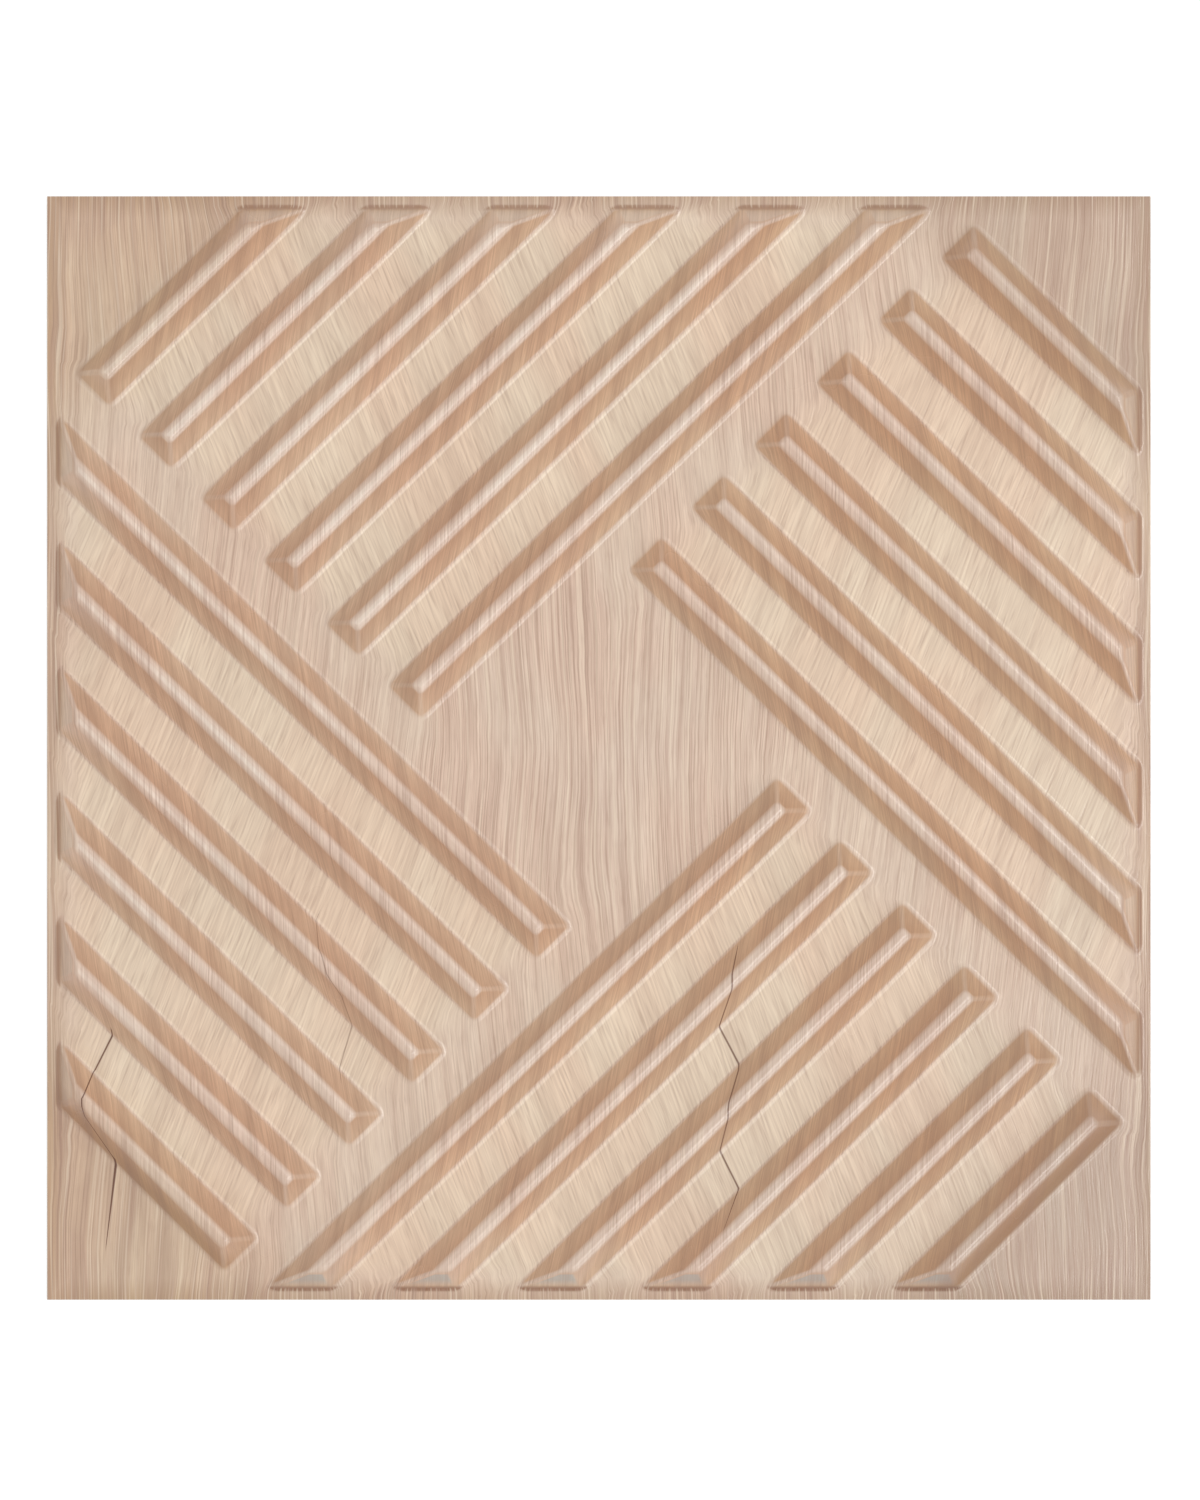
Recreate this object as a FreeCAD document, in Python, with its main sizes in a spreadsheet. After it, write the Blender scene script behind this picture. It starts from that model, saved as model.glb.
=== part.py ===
import FreeCAD, Part
import math
import os

import Sketcher

# Wall panel tile: one thin plastic sheet formed into four pinwheel groups of hollow ribs.
# Frame: the tile lies face up, origin at the middle of its back, +Z out of its face,
# +Y towards the edge that is up on the wall. Millimetres.

# The driving sizes: alias, value, what it is.
SIZES = [
    ("tile_side", 500.0, "length of each edge of the square tile"),
    ("sheet_gauge", 1.0, "thickness of the sheet, the same in flats and walls"),
    ("edge_margin", 5.0, "flat border between a tile edge and the foot of the cut-off rib ends"),
    ("first_rib", 77.0, "from the tile centre to the middle line of each group's first rib"),
    ("rib_pitch", 40.0, "from one rib's middle line to the next"),
    ("rib_base", 22.0, "width of a rib at its foot, before the foot is rounded"),
    ("rib_crest", 5.6, "width of a rib's flat crest, before its edges are rounded"),
    ("rib_rise", 11.0, "height of a crest above the flats beside it"),
    ("crest_radius", 3.0, "rounding of the crest's edges, on the face"),
    ("foot_radius", 4.0, "hollow rounding where a rib meets the flat, on the face"),
]
GROUPS = 4

# Sizes that follow from the driving ones, as expressions on the sheet named sizes.
WALL_RUN = "(sizes.rib_base - sizes.rib_crest) / 2"
WALL_LEAN = f"atan({WALL_RUN} / sizes.rib_rise)"
RIB_GAP = "(sizes.rib_pitch - sizes.rib_base)"
SQUARE_END = f"(sizes.first_rib - sizes.rib_base / 2 - {RIB_GAP})"
MITRE_REACH = "((sizes.tile_side / 2 - sizes.edge_margin) * sqrt(2))"
BACK_INSET = f"(sizes.sheet_gauge / cos({WALL_LEAN}))"

# Two points closer than this are the same place.
SAME = 1e-4


def make_sheet(doc):
    """The spreadsheet of driving sizes, one row each: what it is, value with its alias."""
    sheet = doc.addObject("Spreadsheet::Sheet", "sizes")
    for row, (alias, value, meaning) in enumerate(SIZES, start=1):
        sheet.set(f"A{row}", meaning)
        sheet.set(f"B{row}", str(value))
        sheet.setAlias(f"B{row}", alias)
    doc.recompute()
    return sheet


def rib_count(sheet):
    """How many ribs a group holds: the last one's square end stays inside the flat border."""
    reach = (sheet.tile_side / 2 - sheet.edge_margin) * math.sqrt(2)
    square_end = sheet.first_rib - sheet.rib_base / 2 - (sheet.rib_pitch - sheet.rib_base)
    room = reach - square_end - (sheet.first_rib + sheet.rib_base / 2)
    return 1 + int(room // sheet.rib_pitch)


def origin_plane(body, role):
    """The named plane or axis of the body's own origin."""
    return next(item for item in body.Origin.OriginFeatures if item.Role == role)


def add_sketch(body, name, turn=0.0, height=None):
    """An empty sketch on the body's XY plane, turned about Z and lifted by an expression."""
    sketch = body.newObject("Sketcher::SketchObject", name)
    sketch.AttachmentSupport = [(origin_plane(body, "XY_Plane"), "")]
    sketch.MapMode = "FlatFace"
    spin = FreeCAD.Rotation(FreeCAD.Vector(0, 0, 1), turn)
    sketch.AttachmentOffset = FreeCAD.Placement(FreeCAD.Vector(0, 0, 0), spin)
    if height:
        sketch.setExpression("AttachmentOffset.Base.z", height)
    return sketch


def constrain(sketch, name, expression, *arguments):
    """A named dimension of the sketch that follows an expression on the sheet."""
    index = sketch.addConstraint(Sketcher.Constraint(*arguments, 1.0))
    sketch.renameConstraint(index, name)
    sketch.setExpression(f"Constraints.{name}", expression)


def line(start, end):
    return Part.LineSegment(FreeCAD.Vector(*start, 0), FreeCAD.Vector(*end, 0))


def add_outline(sketch, corners):
    """A closed outline through the corners; returns the index of its first line."""
    first = sketch.GeometryCount
    for start, end in zip(corners, corners[1:] + corners[:1]):
        sketch.addGeometry(line(start, end), False)
    count = len(corners)
    for side in range(count):
        following = first + (side + 1) % count
        sketch.addConstraint(Sketcher.Constraint("Coincident", first + side, 2, following, 1))
    return first


def draw_tile(sketch, sheet):
    """The square of the tile, centred on the origin."""
    half = sheet.tile_side / 2
    first = add_outline(sketch, [(-half, -half), (half, -half), (half, half), (-half, half)])
    for side, direction in enumerate(["Horizontal", "Vertical", "Horizontal", "Vertical"]):
        sketch.addConstraint(Sketcher.Constraint(direction, first + side))
    sketch.addConstraint(Sketcher.Constraint("Symmetric", first, 1, first + 1, 2, -1, 1))
    constrain(sketch, "width", "sizes.tile_side", "DistanceX", first, 1, first, 2)
    constrain(sketch, "depth", "sizes.tile_side", "DistanceY", first + 1, 1, first + 1, 2)


def draw_rib_feet(sketch, sheet, inset):
    """The foot outlines of one group's ribs, drawn in from the face's own outlines by inset.

    The sketch is turned so that its X runs along the ribs. Each outline has a square end
    on the left and is cut off on the right by a line at 45 degrees, beside the tile's edge.
    """
    reach = (sheet.tile_side / 2 - sheet.edge_margin) * math.sqrt(2)
    cut = sketch.addGeometry(line((reach, 0), (0, reach)), True)
    cut_reach = f"{MITRE_REACH} - {inset} * sqrt(2)"
    sketch.addConstraint(Sketcher.Constraint("PointOnObject", cut, 1, -1))
    sketch.addConstraint(Sketcher.Constraint("PointOnObject", cut, 2, -2))
    constrain(sketch, "cut_along", cut_reach, "DistanceX", -1, 1, cut, 1)
    constrain(sketch, "cut_across", cut_reach, "DistanceY", -1, 1, cut, 2)

    square_end = sheet.rib_base / 2 + sheet.rib_pitch - sheet.rib_base - sheet.first_rib
    for rib in range(rib_count(sheet)):
        near = sheet.first_rib + rib * sheet.rib_pitch - sheet.rib_base / 2
        far = near + sheet.rib_base
        corners = [(square_end, near), (reach - near, near), (reach - far, far), (square_end, far)]
        first = add_outline(sketch, corners)
        sketch.addConstraint(Sketcher.Constraint("Horizontal", first))
        sketch.addConstraint(Sketcher.Constraint("Horizontal", first + 2))
        sketch.addConstraint(Sketcher.Constraint("Vertical", first + 3))
        sketch.addConstraint(Sketcher.Constraint("PointOnObject", first, 2, cut))
        sketch.addConstraint(Sketcher.Constraint("PointOnObject", first + 1, 2, cut))
        middle = f"sizes.first_rib + {rib} * sizes.rib_pitch"
        low = f"{middle} - sizes.rib_base / 2 + {inset}"
        high = f"{middle} + sizes.rib_base / 2 - {inset}"
        constrain(sketch, f"near_{rib}", low, "DistanceY", -1, 1, first, 1)
        constrain(sketch, f"far_{rib}", high, "DistanceY", -1, 1, first + 2, 1)
        end = f"{SQUARE_END} - {inset}"
        constrain(sketch, f"end_{rib}", end, "DistanceX", first, 1, -1, 1)


def pattern_round(body, feature, name):
    """The feature repeated round the tile's centre, once for each group."""
    pattern = body.newObject("PartDesign::PolarPattern", name)
    pattern.Originals = [feature]
    pattern.Axis = (origin_plane(body, "Z_Axis"), [""])
    pattern.Angle = 360
    pattern.Occurrences = GROUPS
    body.Tip = pattern
    return pattern


def spans_height(item, span):
    """Whether an edge or face runs from the first height of the span to the second."""
    levels = [vertex.Z for vertex in item.Vertexes]
    return abs(min(levels) - span[0]) < SAME and abs(max(levels) - span[1]) < SAME


def inside_border(item, half_side):
    """Whether an edge or face stays clear of the tile's own edges."""
    return all(max(abs(v.X), abs(v.Y)) < half_side - SAME for v in item.Vertexes)


def lean_walls(body, name, sheet, level, span, inwards):
    """A draft of the upright walls over the given span of height, about the plane of the face.

    It takes material off a rib's walls, and adds it to a hollow's.
    """
    before = body.Tip
    half_side = sheet.tile_side / 2
    walls = []
    for number, face in enumerate(before.Shape.Faces, start=1):
        upright = abs(face.normalAt(0, 0).z) < SAME
        if upright and spans_height(face, span) and inside_border(face, half_side):
            walls.append(f"Face{number}")
    draft = body.newObject("PartDesign::Draft", name)
    draft.Base = (before, walls)
    draft.NeutralPlane = (level, [""])
    draft.setExpression("Angle", WALL_LEAN)
    draft.Reversed = not inwards
    body.Tip = draft
    body.Document.recompute()
    return draft


def round_edges(body, name, sheet, height, radius):
    """A fillet of every edge at one height, the tile's own edges left out."""
    before = body.Tip
    half_side = sheet.tile_side / 2
    edges = []
    for number, edge in enumerate(before.Shape.Edges, start=1):
        if spans_height(edge, (height, height)) and inside_border(edge, half_side):
            edges.append(f"Edge{number}")
    fillet = body.newObject("PartDesign::Fillet", name)
    fillet.Base = (before, edges)
    fillet.setExpression("Radius", radius)
    body.Tip = fillet
    body.Document.recompute()
    return fillet


def make_panel(doc, sheet):
    """The formed sheet: a flat square, ribs raised on its face, and the same ribs hollow behind."""
    body = doc.addObject("PartDesign::Body", "PanelSheet")
    body.Label = "panel_sheet"
    body.Placement = FreeCAD.Placement()
    gauge, rise = sheet.sheet_gauge, sheet.rib_rise

    square = add_sketch(body, "TileSquare")
    draw_tile(square, sheet)
    flat = body.newObject("PartDesign::Pad", "Flat")
    flat.Profile = square
    flat.setExpression("Length", "sizes.sheet_gauge")
    doc.recompute()

    level = body.newObject("PartDesign::Plane", "FaceLevel")
    level.AttachmentSupport = [(origin_plane(body, "XY_Plane"), "")]
    level.MapMode = "FlatFace"
    level.setExpression("AttachmentOffset.Base.z", "sizes.sheet_gauge")

    feet = add_sketch(body, "RibFeet", turn=45, height="sizes.sheet_gauge")
    draw_rib_feet(feet, sheet, "0")
    ribs = body.newObject("PartDesign::Pad", "Ribs")
    ribs.Profile = feet
    ribs.setExpression("Length", "sizes.rib_rise")
    doc.recompute()
    pattern_round(body, ribs, "RibGroups")
    doc.recompute()
    solid_volume = body.Tip.Shape.Volume

    mouths = add_sketch(body, "HollowMouths", turn=45)
    draw_rib_feet(mouths, sheet, BACK_INSET)
    hollows = body.newObject("PartDesign::Pocket", "Hollows")
    hollows.Profile = mouths
    hollows.Reversed = True
    hollows.setExpression("Length", "sizes.rib_rise")
    doc.recompute()
    pattern_round(body, hollows, "HollowGroups")
    doc.recompute()
    if body.Tip.Shape.Volume > solid_volume - SAME:
        raise RuntimeError("the hollows cut nothing from the back")

    crest = gauge + rise
    lean_walls(body, "HollowWalls", sheet, level, (0, rise), inwards=False)
    lean_walls(body, "RibWalls", sheet, level, (gauge, crest), inwards=True)
    round_edges(body, "Crests", sheet, crest, "sizes.crest_radius")
    round_edges(body, "Feet", sheet, gauge, "sizes.foot_radius")
    round_edges(body, "InnerCrests", sheet, rise, "sizes.crest_radius - sizes.sheet_gauge")
    round_edges(body, "InnerFeet", sheet, 0, "sizes.foot_radius + sizes.sheet_gauge")
    return body


def check(doc, parts):
    """Stops the build if any feature failed or a part's shape isn't one valid solid."""
    for item in doc.Objects:
        if "Invalid" in item.State or "Error" in item.State:
            raise RuntimeError(f"{item.Name} failed: {item.State}")
    for part in parts:
        if part.Shape.isNull() or not part.Shape.isValid() or len(part.Shape.Solids) != 1:
            raise RuntimeError(f"{part.Label} isn't one valid solid")


def main():
    doc = FreeCAD.newDocument("wall_panel_tile")
    sheet = make_sheet(doc)
    parts = [make_panel(doc, sheet)]
    doc.recompute()
    check(doc, parts)
    os.makedirs("parts", exist_ok=True)
    for part in parts:
        part.Shape.exportStep(os.path.join("parts", part.Label + ".step"))
        box = part.Shape.BoundBox
        print(part.Label, "volume", round(part.Shape.Volume), "mm3, faces", len(part.Shape.Faces))
        print("size", round(box.XLength, 3), round(box.YLength, 3), round(box.ZLength, 3))


main()
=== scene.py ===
"""A formed wall tile and its studio.

One thin plastic sheet, printed with a wood grain, is drawn over a mould into 24 hollow ribs: four groups
of six, each group turned a quarter from the one before. The sheet is modelled flat, cut along the ribs'
outlines, raised, rounded and given its thickness, and the print then follows the drawn sheet.
"""

import cmath
import math

import bmesh
import bpy
import numpy as np
from bpy.props import FloatProperty, FloatVectorProperty, IntProperty, PointerProperty
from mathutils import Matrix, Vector


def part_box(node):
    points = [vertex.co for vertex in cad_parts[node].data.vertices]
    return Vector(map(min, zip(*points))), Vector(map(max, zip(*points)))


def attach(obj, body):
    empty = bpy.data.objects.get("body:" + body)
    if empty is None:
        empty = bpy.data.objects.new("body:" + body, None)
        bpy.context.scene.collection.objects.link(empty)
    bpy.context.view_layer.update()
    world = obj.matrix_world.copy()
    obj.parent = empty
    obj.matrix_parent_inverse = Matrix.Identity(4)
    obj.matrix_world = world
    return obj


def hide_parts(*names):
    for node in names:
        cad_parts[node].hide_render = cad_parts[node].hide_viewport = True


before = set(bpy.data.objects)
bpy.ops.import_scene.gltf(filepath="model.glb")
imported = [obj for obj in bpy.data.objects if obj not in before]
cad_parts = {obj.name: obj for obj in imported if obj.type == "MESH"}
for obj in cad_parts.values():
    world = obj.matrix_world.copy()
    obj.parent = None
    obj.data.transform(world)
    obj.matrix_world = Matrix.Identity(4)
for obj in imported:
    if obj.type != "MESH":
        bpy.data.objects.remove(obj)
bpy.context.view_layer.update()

bl_info = {
    "name": "Ribbed wall tile",
    "version": (1, 0, 0),
    "blender": (4, 5, 0),
    "location": "View3D > Sidebar > Wall tile",
    "description": "Models a formed and printed wall tile around its packed solid, with its studio",
    "category": "Object",
}

MM = 0.001
CLOSE = 0.1 * MM
TURNS = 4
NODE = "panel_sheet"
PIECE = "printed_sheet"
TILE_LOW, TILE_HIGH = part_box(NODE)
TILE = TILE_HIGH - TILE_LOW

# Cuts across each group of ribs, from the tile's centre, where the print's draw begins, turns or ends
PRINT_CUTS = [distance * MM for distance in (20, 32, 40, 50, 66, 322)]
# A cut this far inside the mitre line, where the draw is whole again
MITRE_CUT = 12 * MM
# How far a group draws the print inwards of its first rib, and what that loses farther along the rib
INWARD_DRAW = 57 * MM
INWARD_LOSS = 20 * MM
INWARD_FADE = (40 * MM, 66 * MM)
# How far it draws the print outwards of its last rib
OUTWARD_DRAW = 45 * MM
# Where the draw sets in, from the square ends and from the mitre line
SQUARE_FADE = (-2 * MM, 16 * MM)
MITRE_FADE = (-3 * MM, 9 * MM)


def linear(red, green, blue):
    """A colour as a picture states it, from 0 to 255, as the shader wants it."""
    shares = (value / 255 for value in (red, green, blue))
    return tuple(s / 12.92 if s <= 0.04045 else ((s + 0.055) / 1.055) ** 2.4 for s in shares)


# Sizes and colours that a user would change

class TileSizes(bpy.types.PropertyGroup):
    """The tile's driving sizes."""

    gauge: FloatProperty(
        name="Gauge", description="Thickness of the sheet", default=1 * MM, unit="LENGTH")
    margin: FloatProperty(
        name="Margin", description="Flat border between the mitred ribs and the tile's edge",
        default=5 * MM, unit="LENGTH")
    first_rib: FloatProperty(
        name="First rib", description="From the tile's centre to each group's first rib",
        default=77 * MM, unit="LENGTH")
    pitch: FloatProperty(
        name="Pitch", description="Between the centre lines of two ribs", default=40 * MM, unit="LENGTH")
    ribs: IntProperty(name="Ribs", description="Ribs in each of the four groups", default=6, min=1)
    base: FloatProperty(
        name="Base", description="A rib's width at its foot", default=22 * MM, unit="LENGTH")
    crest: FloatProperty(
        name="Crest", description="A rib's width at its crest, before rounding",
        default=4.8 * MM, unit="LENGTH")
    crest_radius: FloatProperty(
        name="Crest radius", description="Rounding along a crest", default=4.4 * MM, unit="LENGTH")
    foot_radius: FloatProperty(
        name="Foot radius", description="Rounding along a foot", default=4 * MM, unit="LENGTH")
    hip_radius: FloatProperty(
        name="Hip radius", description="Rounding where two walls of a rib meet",
        default=3.9 * MM, unit="LENGTH")
    print_slip: FloatProperty(
        name="Print slip", description="How far the print is drawn from the flats on to a rib's wall",
        default=5.04 * MM, unit="LENGTH")


class TileColours(bpy.types.PropertyGroup):
    """The print's inks, the bare plastic, the left walls' painted sheen and the lower mitred ends' painted
    reflection.
    """

    wood: FloatVectorProperty(
        name="Wood", description="The print's ground", subtype="COLOR", default=linear(228, 205, 186))
    grain: FloatVectorProperty(
        name="Grain", description="The fine dark lines", subtype="COLOR", default=linear(158, 124, 104))
    drawn: FloatVectorProperty(
        name="Drawn film", description="The ground where the film is stretched on the flats",
        subtype="COLOR", default=linear(238, 219, 194))
    wall: FloatVectorProperty(
        name="Walls", description="The ground on the ribs' walls, at the tile's right side",
        subtype="COLOR", default=linear(220, 185, 151))
    # Painted sheen: a paler copy of the walls' print colour, for the walls on the tile's left
    left_wall_painted_sheen: FloatVectorProperty(
        name="Left walls", description="The ground on the ribs' walls, at the tile's left side",
        subtype="COLOR", default=linear(225, 193, 164))
    end: FloatVectorProperty(
        name="Mitred ends", description="The ground on the walls along the tile's border",
        subtype="COLOR", default=linear(218, 190, 162))
    # Painted reflection: the grey of the floor mirrored in the walls along the tile's lower side
    low_end_painted_reflection: FloatVectorProperty(
        name="Low mitred ends", description="The ground on those walls along the tile's lower side",
        subtype="COLOR", default=linear(182, 172, 158))
    streak: FloatVectorProperty(
        name="Streaks", description="The broader streaks in the unstretched print",
        subtype="COLOR", default=linear(178, 142, 124))
    crack: FloatVectorProperty(
        name="Cracks", description="The printed cracks in the wood", subtype="COLOR",
        default=linear(106, 66, 46))
    plastic: FloatVectorProperty(
        name="Plastic", description="The sheet's unprinted back", subtype="COLOR",
        default=linear(226, 224, 218))


# Modelling helpers

def sheet_object():
    """The sheet that the form operator made."""
    sheet = bpy.data.objects.get(PIECE)
    if sheet is None:
        raise RuntimeError("form the sheet first")
    return sheet


def select_where(sheet, kind, test):
    """In edit mode, selects the faces or edges that pass a test, and nothing else."""
    bpy.ops.mesh.select_mode(type="FACE" if kind == "faces" else "EDGE")
    bpy.ops.mesh.select_all(action="DESELECT")
    shape = bmesh.from_edit_mesh(sheet.data)
    for part in getattr(shape, kind):
        if test(part):
            part.select_set(True)
    shape.select_flush_mode()
    bmesh.update_edit_mesh(sheet.data)


def turned(turn):
    """What a point of the tile is multiplied by to be seen from one of the four groups."""
    return cmath.exp(1j * math.pi * (turn / 2 - 1 / 4))


def group_place(x, y, turn):
    """A point seen from one of the four groups: how far along its ribs, and how far across them."""
    place = (x + 1j * y) * turned(turn)
    return place.real, place.imag


def rib_lines(sizes):
    """The distance of each rib's centre line from the tile's centre."""
    return [sizes.first_rib + rank * sizes.pitch for rank in range(sizes.ribs)]


def half_gap(sizes):
    """Half the flat between two ribs. The same flat parts a group's square ends from the next group."""
    return (sizes.pitch - sizes.base) / 2


def cell_start(sizes):
    """From the tile's centre to where each group's first rib has its cell, which is also its cells' end."""
    return sizes.first_rib - sizes.pitch / 2


def square_end(sizes):
    """How far past the tile's centre a group's square ends stand."""
    return cell_start(sizes) - half_gap(sizes)


def mitre_line(sizes):
    """From the tile's centre to the line where the mitred ribs end."""
    return TILE.x / 2 - sizes.margin


def heading(turn):
    """The direction across one group's ribs, away from the tile's centre."""
    angle = math.pi * (3 - 2 * turn) / 4
    return Vector((math.cos(angle), math.sin(angle), 0))


def side(turn):
    """The direction from the tile's centre to one of its sides."""
    return Vector((math.cos(turn * math.pi / 2), math.sin(turn * math.pi / 2), 0))


def cut(direction, distance, **clearing):
    """In edit mode, cuts what is selected along an upright plane."""
    bpy.ops.mesh.bisect(plane_co=direction * distance, plane_no=direction, **clearing)


def cut_everywhere(direction, distance, **clearing):
    """In edit mode, cuts the whole mesh along an upright plane."""
    bpy.ops.mesh.select_all(action="SELECT")
    cut(direction, distance, **clearing)


def group_across(face, turn, sizes):
    """How far across one group's ribs a face's centre lies, or nothing if it is in no cell of theirs."""
    along, across = group_place(*face.calc_center_median().xy, turn)
    start = cell_start(sizes)
    return across if along > -start and across > start else 0


def cut_groups(sheet, sizes):
    """Cuts the flat sheet into a centre square and four groups."""
    start = cell_start(sizes)
    for turn in range(TURNS):
        cut_everywhere(heading(turn), start)

    def needless(edge):
        middle = (edge.verts[0].co + edge.verts[1].co) / 2
        places = [group_place(middle.x, middle.y, turn) for turn in range(TURNS)]
        return any(abs(along - start) < CLOSE and across > start for along, across in places)

    select_where(sheet, "edges", needless)
    bpy.ops.mesh.dissolve_edges(use_verts=False)


def raise_ribs(sheet, sizes):
    """Cuts off one rib's cell after the other in each group, and draws the rib up inside it.

    A cell is finished before the next one is cut, so that no cut of a neighbour ends on its border.
    """
    half = sizes.pitch / 2
    for line in rib_lines(sizes):
        for turn in range(TURNS):
            select_where(sheet, "faces", lambda face: group_across(face, turn, sizes) > line - half)
            cut(heading(turn), line + half)
        select_where(sheet, "faces", lambda face: any(
            abs(group_across(face, turn, sizes) - line) < half for turn in range(TURNS)))
        for width in (half_gap(sizes), (sizes.base - sizes.crest) / 2):
            bpy.ops.mesh.inset(thickness=width, use_individual=True, use_even_offset=True)
        bpy.ops.transform.translate(value=(0, 0, TILE.z - sizes.gauge))


def cut_for_print(sizes):
    """Cuts the formed sheet where the print's draw begins, ends and turns."""
    for turn in range(TURNS):
        for distance in PRINT_CUTS:
            cut_everywhere(heading(turn), distance)
        cut_everywhere(side(turn), mitre_line(sizes) - MITRE_CUT)


def trim(sizes):
    """Cuts the formed sheet to the tile's outline, as the real one is trimmed after it is formed."""
    for turn in range(TURNS):
        cut_everywhere(side(turn), TILE.x / 2, clear_outer=True)


def round_off(sheet, sizes):
    """Rounds crests, feet and hips, each with its own radius, by one weighted bevel."""
    top = TILE.z
    lean = math.atan2(top - sizes.gauge, (sizes.base - sizes.crest) / 2)
    half_turn = math.tan(lean / 2)
    least_fold = math.radians(10)

    def fold(edge, low, high):
        heights = sorted(vertex.co.z for vertex in edge.verts)
        sharp = len(edge.link_faces) == 2 and edge.calc_face_angle() > least_fold
        return sharp and abs(heights[0] - low) < CLOSE and abs(heights[1] - high) < CLOSE

    folds = (
        (top, top, sizes.crest_radius * half_turn),
        (sizes.gauge, sizes.gauge, sizes.foot_radius * half_turn),
        (sizes.gauge, top, sizes.hip_radius * half_turn),
    )
    widest = max(width for _, _, width in folds)
    bpy.ops.object.mode_set(mode="EDIT")
    for low, high, width in folds:
        select_where(sheet, "edges", lambda edge: fold(edge, low, high))
        bpy.ops.transform.edge_bevelweight(value=width / widest)
    bpy.ops.object.mode_set(mode="OBJECT")
    rounding = sheet.modifiers.new("Rounding", "BEVEL")
    rounding.limit_method = "WEIGHT"
    rounding.width = widest
    rounding.segments = 5
    rounding.miter_outer = "MITER_ARC"
    rounding.use_clamp_overlap = False
    bpy.ops.object.modifier_apply(modifier=rounding.name)


def give_thickness(sheet, sizes):
    """Gives the sheet its gauge below the face, and normals that keep the flats flat."""
    gauge = sheet.modifiers.new("Gauge", "SOLIDIFY")
    gauge.thickness = sizes.gauge
    gauge.offset = -1
    gauge.use_even_offset = True
    bpy.ops.object.modifier_apply(modifier=gauge.name)
    bpy.ops.object.shade_smooth_by_angle(angle=math.radians(40))
    flats = sheet.modifiers.new("Flats", "WEIGHTED_NORMAL")
    flats.keep_sharp = True
    bpy.ops.object.modifier_apply(modifier=flats.name)


# The print's place on the drawn sheet

def ease(low, high, value):
    """0 below low, 1 above high, and smooth between."""
    share = np.clip((value - low) / (high - low), 0, 1)
    return share * share * (3 - 2 * share)


def draw_of_print(along, across, sizes):
    """How one group of ribs drew the print: its slip across the ribs, and the film's stretch."""
    cell = sizes.pitch / 2
    foot = sizes.base / 2
    crest = sizes.crest / 2
    rank = np.clip(np.round((across - sizes.first_rib) / sizes.pitch), 0, sizes.ribs - 1)
    offset = across - sizes.first_rib - sizes.pitch * rank
    away = np.abs(offset)
    inward = INWARD_DRAW - INWARD_LOSS * ease(*INWARD_FADE, along)
    reach = np.where((rank == 0) & (offset < 0), inward, cell)
    reach = np.where((rank == sizes.ribs - 1) & (offset > 0), OUTWARD_DRAW, reach)
    climb = np.clip((away - crest) / (foot - crest), 0, 1)
    fall = np.clip((reach - away) / (reach - foot), 0, 1)
    inside = (mitre_line(sizes) * math.sqrt(2) - along - across) / math.sqrt(2)
    hold = ease(*SQUARE_FADE, along + square_end(sizes)) * ease(*MITRE_FADE, inside)
    slip = np.sign(offset) * sizes.print_slip * np.minimum(climb, fall) * hold
    stretch = np.where(away > foot, (cell - foot) / (reach - foot), 0) * hold * (fall > 0)
    return slip, stretch


def lay_print(sheet, sizes):
    """Stores where each point of the sheet lay on the flat print, in metres, and how far it stretched."""
    count = len(sheet.data.vertices)
    places = np.empty(count * 3)
    sheet.data.vertices.foreach_get("co", places)
    x, y = places.reshape(-1, 3)[:, :2].T
    slip = np.zeros(count, complex)
    stretch = np.zeros(count)
    for turn in range(TURNS):
        across_slip, drawn = draw_of_print(*group_place(x, y, turn), sizes)
        slip += 1j * across_slip / turned(turn)
        stretch = np.maximum(stretch, drawn)
    print_places = np.column_stack((x + slip.real, y + slip.imag))
    corners = np.empty(len(sheet.data.loops), int)
    sheet.data.loops.foreach_get("vertex_index", corners)
    flat_print = sheet.data.uv_layers.new(name="flat_print")
    flat_print.data.foreach_set("uv", print_places[corners].ravel())
    stretched = sheet.data.attributes.new("stretched", "FLOAT", "POINT")
    stretched.data.foreach_set("value", stretch)


# Shader helpers

def add_node(tree, kind, **settings):
    """Adds a node with its settings."""
    node = tree.nodes.new(kind)
    for name, value in settings.items():
        setattr(node, name, value)
    return node


def feed(tree, socket, value):
    """Links a socket to another node's output, or sets its own value."""
    if isinstance(value, bpy.types.NodeSocket):
        tree.links.new(value, socket)
    else:
        socket.default_value = value


def calc(tree, operation, *values):
    """A Math node's output."""
    node = add_node(tree, "ShaderNodeMath", operation=operation)
    for socket, value in zip(node.inputs, values):
        feed(tree, socket, value)
    return node.outputs[0]


def product(tree, first, *others):
    """Values multiplied together."""
    for other in others:
        first = calc(tree, "MULTIPLY", first, other)
    return first


def total(tree, first, *others):
    """Values added together."""
    for other in others:
        first = calc(tree, "ADD", first, other)
    return first


def larger(tree, first, second):
    """The larger of two values, whatever their signs."""
    return calc(tree, "MAXIMUM", calc(tree, "ABSOLUTE", first), calc(tree, "ABSOLUTE", second))


def vector_calc(tree, operation, first, second):
    """A Vector Math node's output."""
    node = add_node(tree, "ShaderNodeVectorMath", operation=operation)
    feed(tree, node.inputs[0], first)
    feed(tree, node.inputs[1], second)
    return node.outputs[0]


def split(tree, vector):
    """A vector's X, Y and Z."""
    node = add_node(tree, "ShaderNodeSeparateXYZ")
    feed(tree, node.inputs[0], vector)
    return tuple(node.outputs)


def join(tree, x, y=0.0):
    """A vector from its X and Y."""
    node = add_node(tree, "ShaderNodeCombineXYZ")
    feed(tree, node.inputs["X"], x)
    feed(tree, node.inputs["Y"], y)
    return node.outputs[0]


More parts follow.
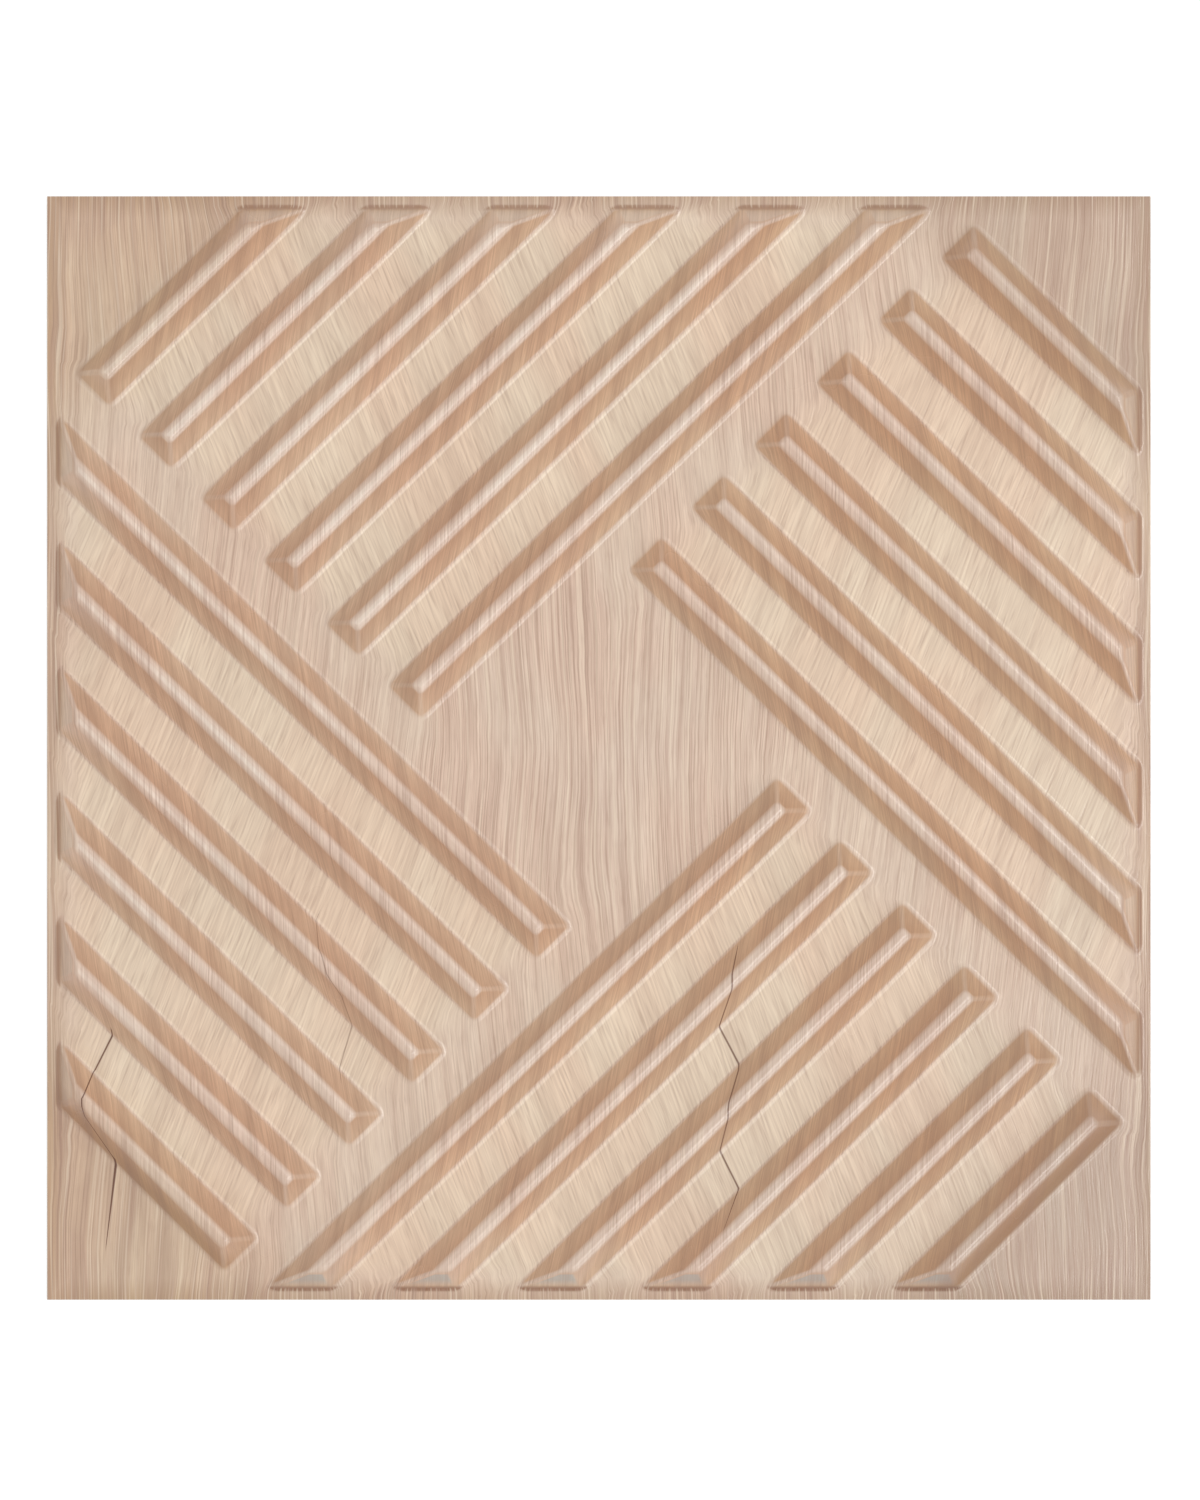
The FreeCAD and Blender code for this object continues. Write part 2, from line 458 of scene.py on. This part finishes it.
def span(tree, value, low, high, to_low=0.0, to_high=1.0):
    """A value moved from one range to another, and kept inside it."""
    node = add_node(tree, "ShaderNodeMapRange", clamp=True)
    for name, part in zip(("Value", "From Min", "From Max", "To Min", "To Max"),
                          (value, low, high, to_low, to_high)):
        feed(tree, node.inputs[name], part)
    return node.outputs["Result"]


def tint(tree, amount, first, second, mode="MIX"):
    """One colour mixed over another."""
    node = add_node(tree, "ShaderNodeMix", data_type="RGBA", blend_type=mode)
    for index, value in ((0, amount), (6, first), (7, second)):
        if isinstance(value, (tuple, list)) and len(value) == 3:
            value = (*value, 1)
        feed(tree, node.inputs[index], value)
    return node.outputs[2]


def cloud(tree, place, scale, stretch=(1, 1, 1), detail=2.0):
    """A Noise texture's value, with its pattern stretched along an axis."""
    noise = add_node(tree, "ShaderNodeTexNoise", noise_dimensions="2D")
    feed(tree, noise.inputs["Vector"], vector_calc(tree, "MULTIPLY", place, stretch))
    feed(tree, noise.inputs["Scale"], scale)
    feed(tree, noise.inputs["Detail"], detail)
    return noise.outputs["Fac"]


def new_group(name, numbers, result, kind="NodeSocketFloat"):
    """A node group that takes a place on the print and some numbers: its tree, inputs and result."""
    tree = bpy.data.node_groups.new(name, "ShaderNodeTree")
    tree.interface.new_socket("Place", in_out="INPUT", socket_type="NodeSocketVector")
    for number in numbers:
        tree.interface.new_socket(number, in_out="INPUT", socket_type="NodeSocketFloat")
    tree.interface.new_socket(result, in_out="OUTPUT", socket_type=kind)
    return tree, tree.nodes.new("NodeGroupInput").outputs, tree.nodes.new("NodeGroupOutput").inputs[0]


def place_group(tree, group, **values):
    """Puts a node group in a tree with its own values."""
    node = add_node(tree, "ShaderNodeGroup", node_tree=group)
    for name, value in values.items():
        feed(tree, node.inputs[name.capitalize()], value)
    return node.outputs[0]


# Printed grain and cracks

# How far the long lines wander to each side together
SWAY = 3 * MM

# The grain's layers, from the broadest: spacing and length in millimetres, and the noise's values at
# which a line sets in and is full
GRAIN_SHAPES = {
    "bands": (7, 90, 0.35, 0.75),
    "streaks": (2.8, 75, 0.42, 0.72),
    "fine": (0.75, 14, 0.3, 0.7),
    "ticks": (0.95, 9, 0.55, 0.78),
    "lines": (0.75, 110, 0.46, 0.66),
    "pale": (1.1, 120, 0.52, 0.7),
}

# Each layer's ink, its strength, and what some places add to that
GRAIN_INKS = {
    "bands": ("grain", 0.16, {"wall": 0.18, "corner": 0.1, "lower left corner": 0.24}),
    "streaks": ("streak", 0.0, {"plain": 0.42}),
    "fine": ("grain", 0.26, {"plain": -0.1}),
    "ticks": ("grain", 0.16, {"stretched": 0.11}),
    "lines": ("grain", 0.24, {"stretched": -0.16, "plain": 0.3}),
    "pale": ("drawn", 0.0, {"plain": 0.5}),
}

# Each crack's strength and its points from its lower end up, as (across, up, half width) in millimetres
# on the flat print
CRACKS = (
    (1.0, ((-223.9, -228.5, 0.12), (-222.3, -189.3, 0.9), (-223.3, -187.3, 0.4), (-233.3, -167.3, 0.35),
           (-233.3, -158.2, 0.5), (-225.3, -142.9, 0.4), (-223.6, -131.0, 0.5), (-223.6, -128.5, 0.1))),
    (0.85, ((55.6, -219.0, 0.1), (59.8, -196.0, 0.5), (58.3, -185.0, 0.55), (58.3, -163.0, 0.55),
            (60.4, -143.0, 0.55), (58.0, -129.0, 0.55), (60.1, -108.0, 0.55), (60.1, -93.0, 0.5),
            (60.1, -85.0, 0.1))),
    (0.5, ((-114.5, -150.0, 0.1), (-114.0, -143.0, 0.3), (-117.0, -113.0, 0.45), (-122.8, -102.0, 0.45),
           (-126.0, -90.0, 0.45), (-125.0, -79.0, 0.4), (-124.5, -71.0, 0.1))),
)

# Over how many millimetres a crack fades at its lower and at its upper end
CRACK_FADES = (3, 2)


def sway_group():
    """Lets the print's long lines wander a little from side to side."""
    tree, given, result = new_group("Sway", ("Sway",), "Place", "NodeSocketVector")
    bend = cloud(tree, given["Place"], scale=14.0, stretch=(1.4, 1, 1), detail=0.0)
    shift = product(tree, calc(tree, "SUBTRACT", bend, 0.5), given["Sway"])
    feed(tree, result, vector_calc(tree, "ADD", given["Place"], join(tree, shift)))
    return tree


def grain_group():
    """Long tapering lines up the print, of a set spacing and length."""
    tree, given, result = new_group("Long grain", ("Spacing", "Length", "Low", "High"), "Mask")
    x, y, _ = split(tree, given["Place"])
    place = join(tree, calc(tree, "DIVIDE", x, given["Spacing"]), calc(tree, "DIVIDE", y, given["Length"]))
    lines = cloud(tree, place, scale=1.0, detail=1.5)
    feed(tree, result, span(tree, lines, given["Low"], given["High"]))
    return tree


def crack_group():
    """A crack that wanders up the print: its line and its half width come from curves."""
    tree, given, result = new_group("Crack", ("Line", "Width"), "Mask")
    across = split(tree, given["Place"])[0]
    away = calc(tree, "ABSOLUTE", calc(tree, "SUBTRACT", across, given["Line"]))
    share = calc(tree, "DIVIDE", away, calc(tree, "MAXIMUM", given["Width"], 0.01 * MM))
    soft_sides = span(tree, share, 1.0, 0.35)
    thin_ends = span(tree, given["Width"], 0.02 * MM, 0.12 * MM)
    feed(tree, result, product(tree, soft_sides, thin_ends))
    return tree


def along_crack(tree, height, points):
    """A Float Curve through a crack's points: (height, value) pairs, in metres."""
    low, high = points[0][0], points[-1][0]
    values = [value for _, value in points]
    least, most = min(values), max(values)
    node = add_node(tree, "ShaderNodeFloatCurve")
    feed(tree, node.inputs["Value"], span(tree, height, low, high))
    curve = node.mapping.curves[0]
    shares = [((at - low) / (high - low), (value - least) / (most - least)) for at, value in points]
    curve.points[0].location = shares[0]
    curve.points[1].location = shares[-1]
    for share in shares[1:-1]:
        curve.points.new(*share)
    for point in curve.points:
        point.handle_type = "VECTOR"
    node.mapping.update()
    return span(tree, node.outputs["Value"], 0, 1, least, most)


def print_cracks(tree, place, ground, colours):
    """The print's cracks over its ground."""
    group = crack_group()
    height = split(tree, place)[1]
    for strength, points in CRACKS:
        low, high = points[0][1], points[-1][1]
        line = along_crack(tree, height, [(up * MM, across * MM) for across, up, _ in points])
        width = along_crack(tree, height, [(up * MM, half * MM) for _, up, half in points])
        amount = product(tree, place_group(tree, group, place=place, line=line, width=width),
                         span(tree, height, low * MM, (low + CRACK_FADES[0]) * MM),
                         span(tree, height, high * MM, (high - CRACK_FADES[1]) * MM), strength)
        ground = tint(tree, amount, ground, tuple(colours.crack))
    return ground


def grain_layers(tree, place):
    """The masks of the grain's layers, by name."""
    group = grain_group()
    swayed = place_group(tree, sway_group(), place=place, sway=SWAY)
    return {
        name: place_group(tree, group, place=swayed, spacing=spacing * MM, length=length * MM,
                          low=low, high=high)
        for name, (spacing, length, low, high) in GRAIN_SHAPES.items()}


def print_grain(tree, layers, mask, ground, colours):
    """The grain's layers over the print's ground."""
    for name, (ink, strength, more) in GRAIN_INKS.items():
        added = (product(tree, mask[where], part) for where, part in more.items())
        strength = total(tree, strength, *added)
        if name == "lines":
            strength = product(tree, strength, mask["strength of lines"])
        ground = tint(tree, product(tree, layers[name], strength), ground, tuple(getattr(colours, ink)))
    return ground


# The print's ground

# Each mask on the formed sheet: what it measures, and the values where it is empty and full. Places are
# in metres from the tile's centre and the back, and a facing is a part of the sheet's normal.
MASKS = {
    "front": ("facing up", 0.05, 0.15),
    "wall": ("facing up", 0.93, 0.66),
    "mitred end": ("facing a side", 0.74, 0.79),
    "facing the lower side": ("facing far", -0.72, -0.78),
    "border": ("outward", 240 * MM, 249 * MM),
    "foot by the border": ("outward", 243.3 * MM, 244.6 * MM),
    "corner": ("diagonal", 0.362, 0.415),
    "tip of a corner": ("diagonal", 0.394, 0.402),
    # Where the walls take the painted sheen
    "left half": ("x", 0.12, -0.12),
    "right side": ("x", -0.2, 0.2),
    "lower half": ("y", 0.0, -0.05),
    "lower border": ("y", -240 * MM, -243 * MM),
    "lower left corner": ("up right", -0.37, -0.42),
    "upper left": ("up left", 0.06, 0.14),
    # Where the painted shade at the lower right lies
    "lower right": ("up left", -0.16, -0.46),
    "raised": ("height", 1.02 * MM, 1.25 * MM),
    "off the foot": ("height", 1.05 * MM, 2.5 * MM),
    "part way up": ("height", 3.5 * MM, 7 * MM),
    "high": ("height", 3 * MM, 11 * MM),
    "crest": ("height", 8 * MM, 11 * MM),
    "top of a crest": ("height", 11.85 * MM, 11.98 * MM),
}

# Masks that hold where all of some others do
JOINED_MASKS = {
    "upper wall": ("wall", "high"),
    # Painted reflection on the lower mitred ends
    "low end painted reflection": ("facing the lower side", "part way up"),
    # Painted highlight on the crests' tops in the upper left
    "painted crest highlight": ("top of a crest", "upper left"),
    # Where the painted shade in the mitred ends' feet lies
    "mitred foot": ("raised", "foot by the border"),
    # Painted shade on the raised parts at the lower corners' tips
    "low corner": ("off the foot", "tip of a corner", "lower half"),
}

# How strongly the painted highlight along the crests of the upper left group is laid on
PAINTED_CREST_HIGHLIGHT = 0.7

# Colours laid over the print's ground: painted highlight and painted shade, the walls darker towards the
# crest, and the print's own darker corners, border and pink patches
PAINTED_LIGHT_AND_PRINT_TONES = {
    # The walls darker towards the crest
    "upper wall": linear(242, 234, 230),
    # Painted highlight along the tops of the crests
    "painted crest highlight": linear(250, 236, 220),
    # The unstretched print darker in the corners, with painted shade that darkens the right corners more
    # than the left
    "left corner": linear(243, 238, 226),
    "right corner": linear(227, 225, 222),
    # Painted shade over the tile's lower right
    "lower right": linear(240, 241, 243),
    # Painted shade on the raised parts at the tips of the lower corners
    "low corner": linear(226, 216, 206),
    # The unstretched print darker along the border
    "border": linear(229, 221, 208),
    # Painted shade in the feet of the mitred ends, darker along the tile's lower border
    "mitred foot": linear(208, 188, 172),
    "low mitred foot": linear(180, 152, 130),
    # The print's pink patches
    "pink patches": linear(255, 248, 246),
}


def sheet_measures(tree):
    """Where a point of the formed sheet lies and how it faces, by name."""
    sheet = add_node(tree, "ShaderNodeTexCoord")
    x, y, height = split(tree, sheet.outputs["Object"])
    facing_right, facing_far, facing_up = split(tree, sheet.outputs["Normal"])
    return {
        "x": x,
        "y": y,
        "height": height,
        "outward": larger(tree, x, y),
        "diagonal": total(tree, calc(tree, "ABSOLUTE", x), calc(tree, "ABSOLUTE", y)),
        "up right": total(tree, x, y),
        "up left": calc(tree, "SUBTRACT", y, x),
        "facing up": facing_up,
        "facing far": facing_far,
        "facing a side": larger(tree, facing_right, facing_far),
    }


def sheet_masks(tree, patches):
    """The masks that the print's ground and its grain share, by name."""
    measures = sheet_measures(tree)
    mask = {name: span(tree, measures[what], low, high) for name, (what, low, high) in MASKS.items()}
    for name, parts in JOINED_MASKS.items():
        mask[name] = product(tree, *(mask[part] for part in parts))
    stretched = add_node(tree, "ShaderNodeAttribute", attribute_name="stretched").outputs["Fac"]
    mask["stretched"] = stretched
    mask["pink patches"] = span(tree, patches, 0.4, 0.6)
    mask["strength of lines"] = span(tree, patches, 0.35, 0.65, 0.6, 1.2)
    mask["plain"] = product(tree, span(tree, stretched, 0.6, 0.1), span(tree, mask["wall"], 0.6, 0.0),
                            span(tree, mask["crest"], 0.0, 1.0, 1.0, 0.4))
    return mask


def ground_colour(tree, mask, colours):
    """The print's ground and its own tones, with the painted sheen, reflection, highlight and shade laid
    over it.
    """
    # Painted sheen: walls on the tile's left take the paler colour
    walls = tint(tree, mask["left half"], tuple(colours.wall), tuple(colours.left_wall_painted_sheen))
    # Painted shade: the right corners darkened more than the left
    corner = tint(tree, mask["right side"], PAINTED_LIGHT_AND_PRINT_TONES["left corner"], PAINTED_LIGHT_AND_PRINT_TONES["right corner"])
    # Painted shade in the mitred ends' feet, darker along the lower border
    foot = tint(tree, mask["lower border"], PAINTED_LIGHT_AND_PRINT_TONES["mitred foot"], PAINTED_LIGHT_AND_PRINT_TONES["low mitred foot"])
    painted_crest_highlight = product(tree, mask["painted crest highlight"], PAINTED_CREST_HIGHLIGHT)
    ground = tint(tree, mask["stretched"], tuple(colours.wood), tuple(colours.drawn))
    for amount, shade, mode in (
            (mask["wall"], walls, "MIX"),
            (mask["upper wall"], PAINTED_LIGHT_AND_PRINT_TONES["upper wall"], "MULTIPLY"),
            (mask["mitred end"], tuple(colours.end), "MIX"),
            # Painted reflection of the floor on the lower mitred ends
            (mask["low end painted reflection"], tuple(colours.low_end_painted_reflection), "MIX"),
            (painted_crest_highlight, PAINTED_LIGHT_AND_PRINT_TONES["painted crest highlight"], "MIX"),
            (mask["corner"], corner, "MULTIPLY"),
            (mask["lower right"], PAINTED_LIGHT_AND_PRINT_TONES["lower right"], "MULTIPLY"),
            (mask["low corner"], PAINTED_LIGHT_AND_PRINT_TONES["low corner"], "MULTIPLY"),
            (mask["border"], PAINTED_LIGHT_AND_PRINT_TONES["border"], "MULTIPLY"),
            (mask["mitred foot"], foot, "MULTIPLY"),
            (mask["pink patches"], PAINTED_LIGHT_AND_PRINT_TONES["pink patches"], "MULTIPLY")):
        ground = tint(tree, amount, ground, shade, mode)
    return ground


def print_material(colours):
    """The printed face, and the bare plastic at the back and on the cut edge."""
    material = bpy.data.materials.new("Printed film")
    material.use_nodes = True
    tree = material.node_tree
    tree.nodes.clear()
    place = add_node(tree, "ShaderNodeUVMap", uv_map="flat_print").outputs["UV"]
    patches = cloud(tree, place, scale=14.0, stretch=(1.6, 0.7, 1))
    mask = sheet_masks(tree, patches)
    layers = grain_layers(tree, place)
    colour = ground_colour(tree, mask, colours)
    colour = print_grain(tree, layers, mask, colour, colours)
    colour = print_cracks(tree, place, colour, colours)
    colour = tint(tree, mask["front"], tuple(colours.plastic), colour)

    shader = add_node(tree, "ShaderNodeBsdfPrincipled")
    shader.inputs["Specular IOR Level"].default_value = 0.8
    feed(tree, shader.inputs["Base Color"], colour)
    feed(tree, shader.inputs["Roughness"], span(tree, patches, 0.3, 0.7, 0.24, 0.28))
    bump = add_node(tree, "ShaderNodeBump", invert=True)
    bump.inputs["Strength"].default_value = 0.35
    bump.inputs["Distance"].default_value = 0.05 * MM
    feed(tree, bump.inputs["Height"], total(tree, layers["fine"], layers["ticks"]))
    feed(tree, shader.inputs["Normal"], bump.outputs[0])
    output = add_node(tree, "ShaderNodeOutputMaterial")
    feed(tree, output.inputs["Surface"], shader.outputs[0])
    return material


# The sheet's operators

class TILE_OT_form_sheet(bpy.types.Operator):
    """Model the drawn sheet with its ribs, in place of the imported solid"""

    bl_idname = "tile.form_sheet"
    bl_label = "Form the sheet"

    def execute(self, context):
        sizes = context.scene.tile_sizes
        bpy.ops.object.select_all(action="DESELECT")
        blank = TILE.x + 2 * (half_gap(sizes) - sizes.margin)
        bpy.ops.mesh.primitive_plane_add(size=blank, location=(0, 0, sizes.gauge))
        sheet = context.object
        sheet.name = sheet.data.name = PIECE
        bpy.ops.object.transform_apply(location=True, rotation=True, scale=True)
        bpy.ops.object.mode_set(mode="EDIT")
        cut_groups(sheet, sizes)
        raise_ribs(sheet, sizes)
        bpy.ops.object.mode_set(mode="OBJECT")
        round_off(sheet, sizes)
        bpy.ops.object.mode_set(mode="EDIT")
        cut_for_print(sizes)
        trim(sizes)
        bpy.ops.object.mode_set(mode="OBJECT")
        give_thickness(sheet, sizes)
        lay_print(sheet, sizes)
        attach(sheet, "root")
        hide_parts(NODE)
        return {"FINISHED"}


class TILE_OT_print_sheet(bpy.types.Operator):
    """Print the wood grain and its cracks on the sheet"""

    bl_idname = "tile.print_sheet"
    bl_label = "Print the sheet"

    def execute(self, context):
        sheet = sheet_object()
        sheet.data.materials.clear()
        sheet.data.materials.append(print_material(context.scene.tile_colours))
        return {"FINISHED"}


# The studio

# Each softbox: its name, its place, its width and height in metres, and its power in watts
SOFTBOXES = (
    ("right softbox", (1.09, -0.3, 2.79), 2.4, 0.4, 23.5),
    ("low softbox", (2.1, -2.1, 2.04), 1.2, 1.2, 13),
    ("far softbox", (1.45, 1.45, 2.3), 1.7, 1.7, 8),
    ("left softbox", (-1.35, 0.15, 2.6), 2.4, 0.5, 5),
)
# How bright the surround is, and how much the floor glows to the camera to read as plain white
SURROUND = 0.63
FLOOR_GLOW = 0.3
FLOOR_SIZE = 12
# The floor lies this far below the tile's back
FLOOR_GAP = 0.2 * MM
# The camera's place, the frame's height on the floor in metres, and the sensor's width in millimetres
CAMERA_PLACE = (0.5 * MM, -0.89 * MM, 2.4)
SEEN_HEIGHT = 0.68
SENSOR_WIDTH = 36


def add_softbox(name, place, width, height, power):
    """An area lamp that looks at the tile."""
    lamp = bpy.data.lights.new(name, "AREA")
    lamp.shape = "RECTANGLE"
    lamp.size = width
    lamp.size_y = height
    lamp.energy = power
    holder = bpy.data.objects.new(name, lamp)
    holder.location = place
    holder.rotation_euler = Vector(place).to_track_quat("Z", "Y").to_euler()
    bpy.context.scene.collection.objects.link(holder)


def add_floor():
    """A white floor that reads as plain white and keeps the tile's shadow."""
    bpy.ops.object.select_all(action="DESELECT")
    bpy.ops.mesh.primitive_plane_add(size=FLOOR_SIZE, location=(0, 0, -FLOOR_GAP))
    floor = bpy.context.object
    floor.name = "floor"
    material = bpy.data.materials.new("White floor")
    material.use_nodes = True
    tree = material.node_tree
    shader = tree.nodes["Principled BSDF"]
    shader.inputs["Base Color"].default_value = (0.92, 0.92, 0.92, 1)
    shader.inputs["Roughness"].default_value = 0.9
    shader.inputs["Specular IOR Level"].default_value = 0.0
    shader.inputs["Emission Color"].default_value = (1, 1, 1, 1)
    rays = add_node(tree, "ShaderNodeLightPath")
    seen = calc(tree, "MAXIMUM", rays.outputs["Is Camera Ray"], rays.outputs["Is Glossy Ray"])
    seen = calc(tree, "MAXIMUM", seen, rays.outputs["Is Transmission Ray"])
    feed(tree, shader.inputs["Emission Strength"], product(tree, seen, FLOOR_GLOW))
    floor.data.materials.append(material)


def light_room(scene):
    """An even white surround."""
    world = bpy.data.worlds.new("Studio")
    world.use_nodes = True
    background = world.node_tree.nodes["Background"]
    background.inputs["Color"].default_value = (1, 1, 1, 1)
    background.inputs["Strength"].default_value = SURROUND
    scene.world = world


def add_camera(scene):
    """The photograph's camera: straight above the tile, which fills most of the frame's width."""
    camera = bpy.data.cameras.new("camera")
    camera.sensor_width = SENSOR_WIDTH
    camera.lens = SENSOR_WIDTH * CAMERA_PLACE[2] / SEEN_HEIGHT
    holder = bpy.data.objects.new("camera", camera)
    holder.location = CAMERA_PLACE
    scene.collection.objects.link(holder)
    scene.camera = holder


class TILE_OT_set_stage(bpy.types.Operator):
    """Add the floor, the lamps, the surround and the camera"""

    bl_idname = "tile.set_stage"
    bl_label = "Set the stage"

    def execute(self, context):
        scene = context.scene
        add_floor()
        light_room(scene)
        for softbox in SOFTBOXES:
            add_softbox(*softbox)
        add_camera(scene)
        scene.view_settings.view_transform = "Standard"
        return {"FINISHED"}


# The sidebar

class TILE_PT_wall_tile(bpy.types.Panel):
    """The tile's sizes, colours and steps"""

    bl_label = "Wall tile"
    bl_space_type = "VIEW_3D"
    bl_region_type = "UI"
    bl_category = "Wall tile"

    def draw(self, context):
        for group in (context.scene.tile_sizes, context.scene.tile_colours):
            column = self.layout.column(align=True)
            for name in group.__annotations__:
                column.prop(group, name)
        column = self.layout.column()
        for operator in (TILE_OT_form_sheet, TILE_OT_print_sheet, TILE_OT_set_stage):
            column.operator(operator.bl_idname)


CLASSES = (
    TileSizes,
    TileColours,
    TILE_OT_form_sheet,
    TILE_OT_print_sheet,
    TILE_OT_set_stage,
    TILE_PT_wall_tile,
)


def register():
    for kind in CLASSES:
        bpy.utils.register_class(kind)
    bpy.types.Scene.tile_sizes = PointerProperty(type=TileSizes)
    bpy.types.Scene.tile_colours = PointerProperty(type=TileColours)


def unregister():
    del bpy.types.Scene.tile_colours
    del bpy.types.Scene.tile_sizes
    for kind in reversed(CLASSES):
        bpy.utils.unregister_class(kind)


def main():
    register()
    bpy.ops.tile.form_sheet()
    bpy.ops.tile.print_sheet()
    bpy.ops.tile.set_stage()


if __name__ == "__main__":
    main()
